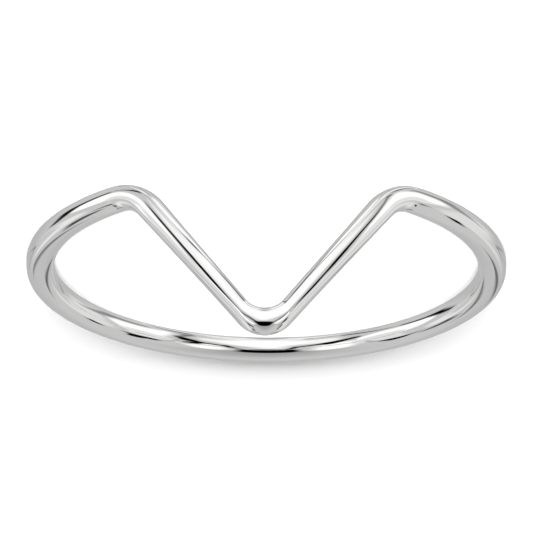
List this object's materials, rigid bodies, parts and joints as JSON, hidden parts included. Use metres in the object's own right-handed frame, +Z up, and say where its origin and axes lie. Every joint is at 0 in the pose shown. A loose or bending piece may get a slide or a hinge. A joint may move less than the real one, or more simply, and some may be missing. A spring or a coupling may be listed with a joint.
{
  "type": "chevron ring",
  "caption": "Slim polished finger ring: a level round shank that rises to a V-shaped point at the front.",
  "frame": {"origin": "centre of the finger hole, on the surface that the level shank rests on", "axes": "+Z up along the finger hole's axis, the way the point rises; the point is at the front, towards -Y; +X to the right seen from the front"},
  "size_m": [0.0196, 0.0196, 0.0071],
  "materials": {
    "silver": "polished"
  },
  "bodies": {
    "root": {"band": "silver"}
  },
  "joints": []
}
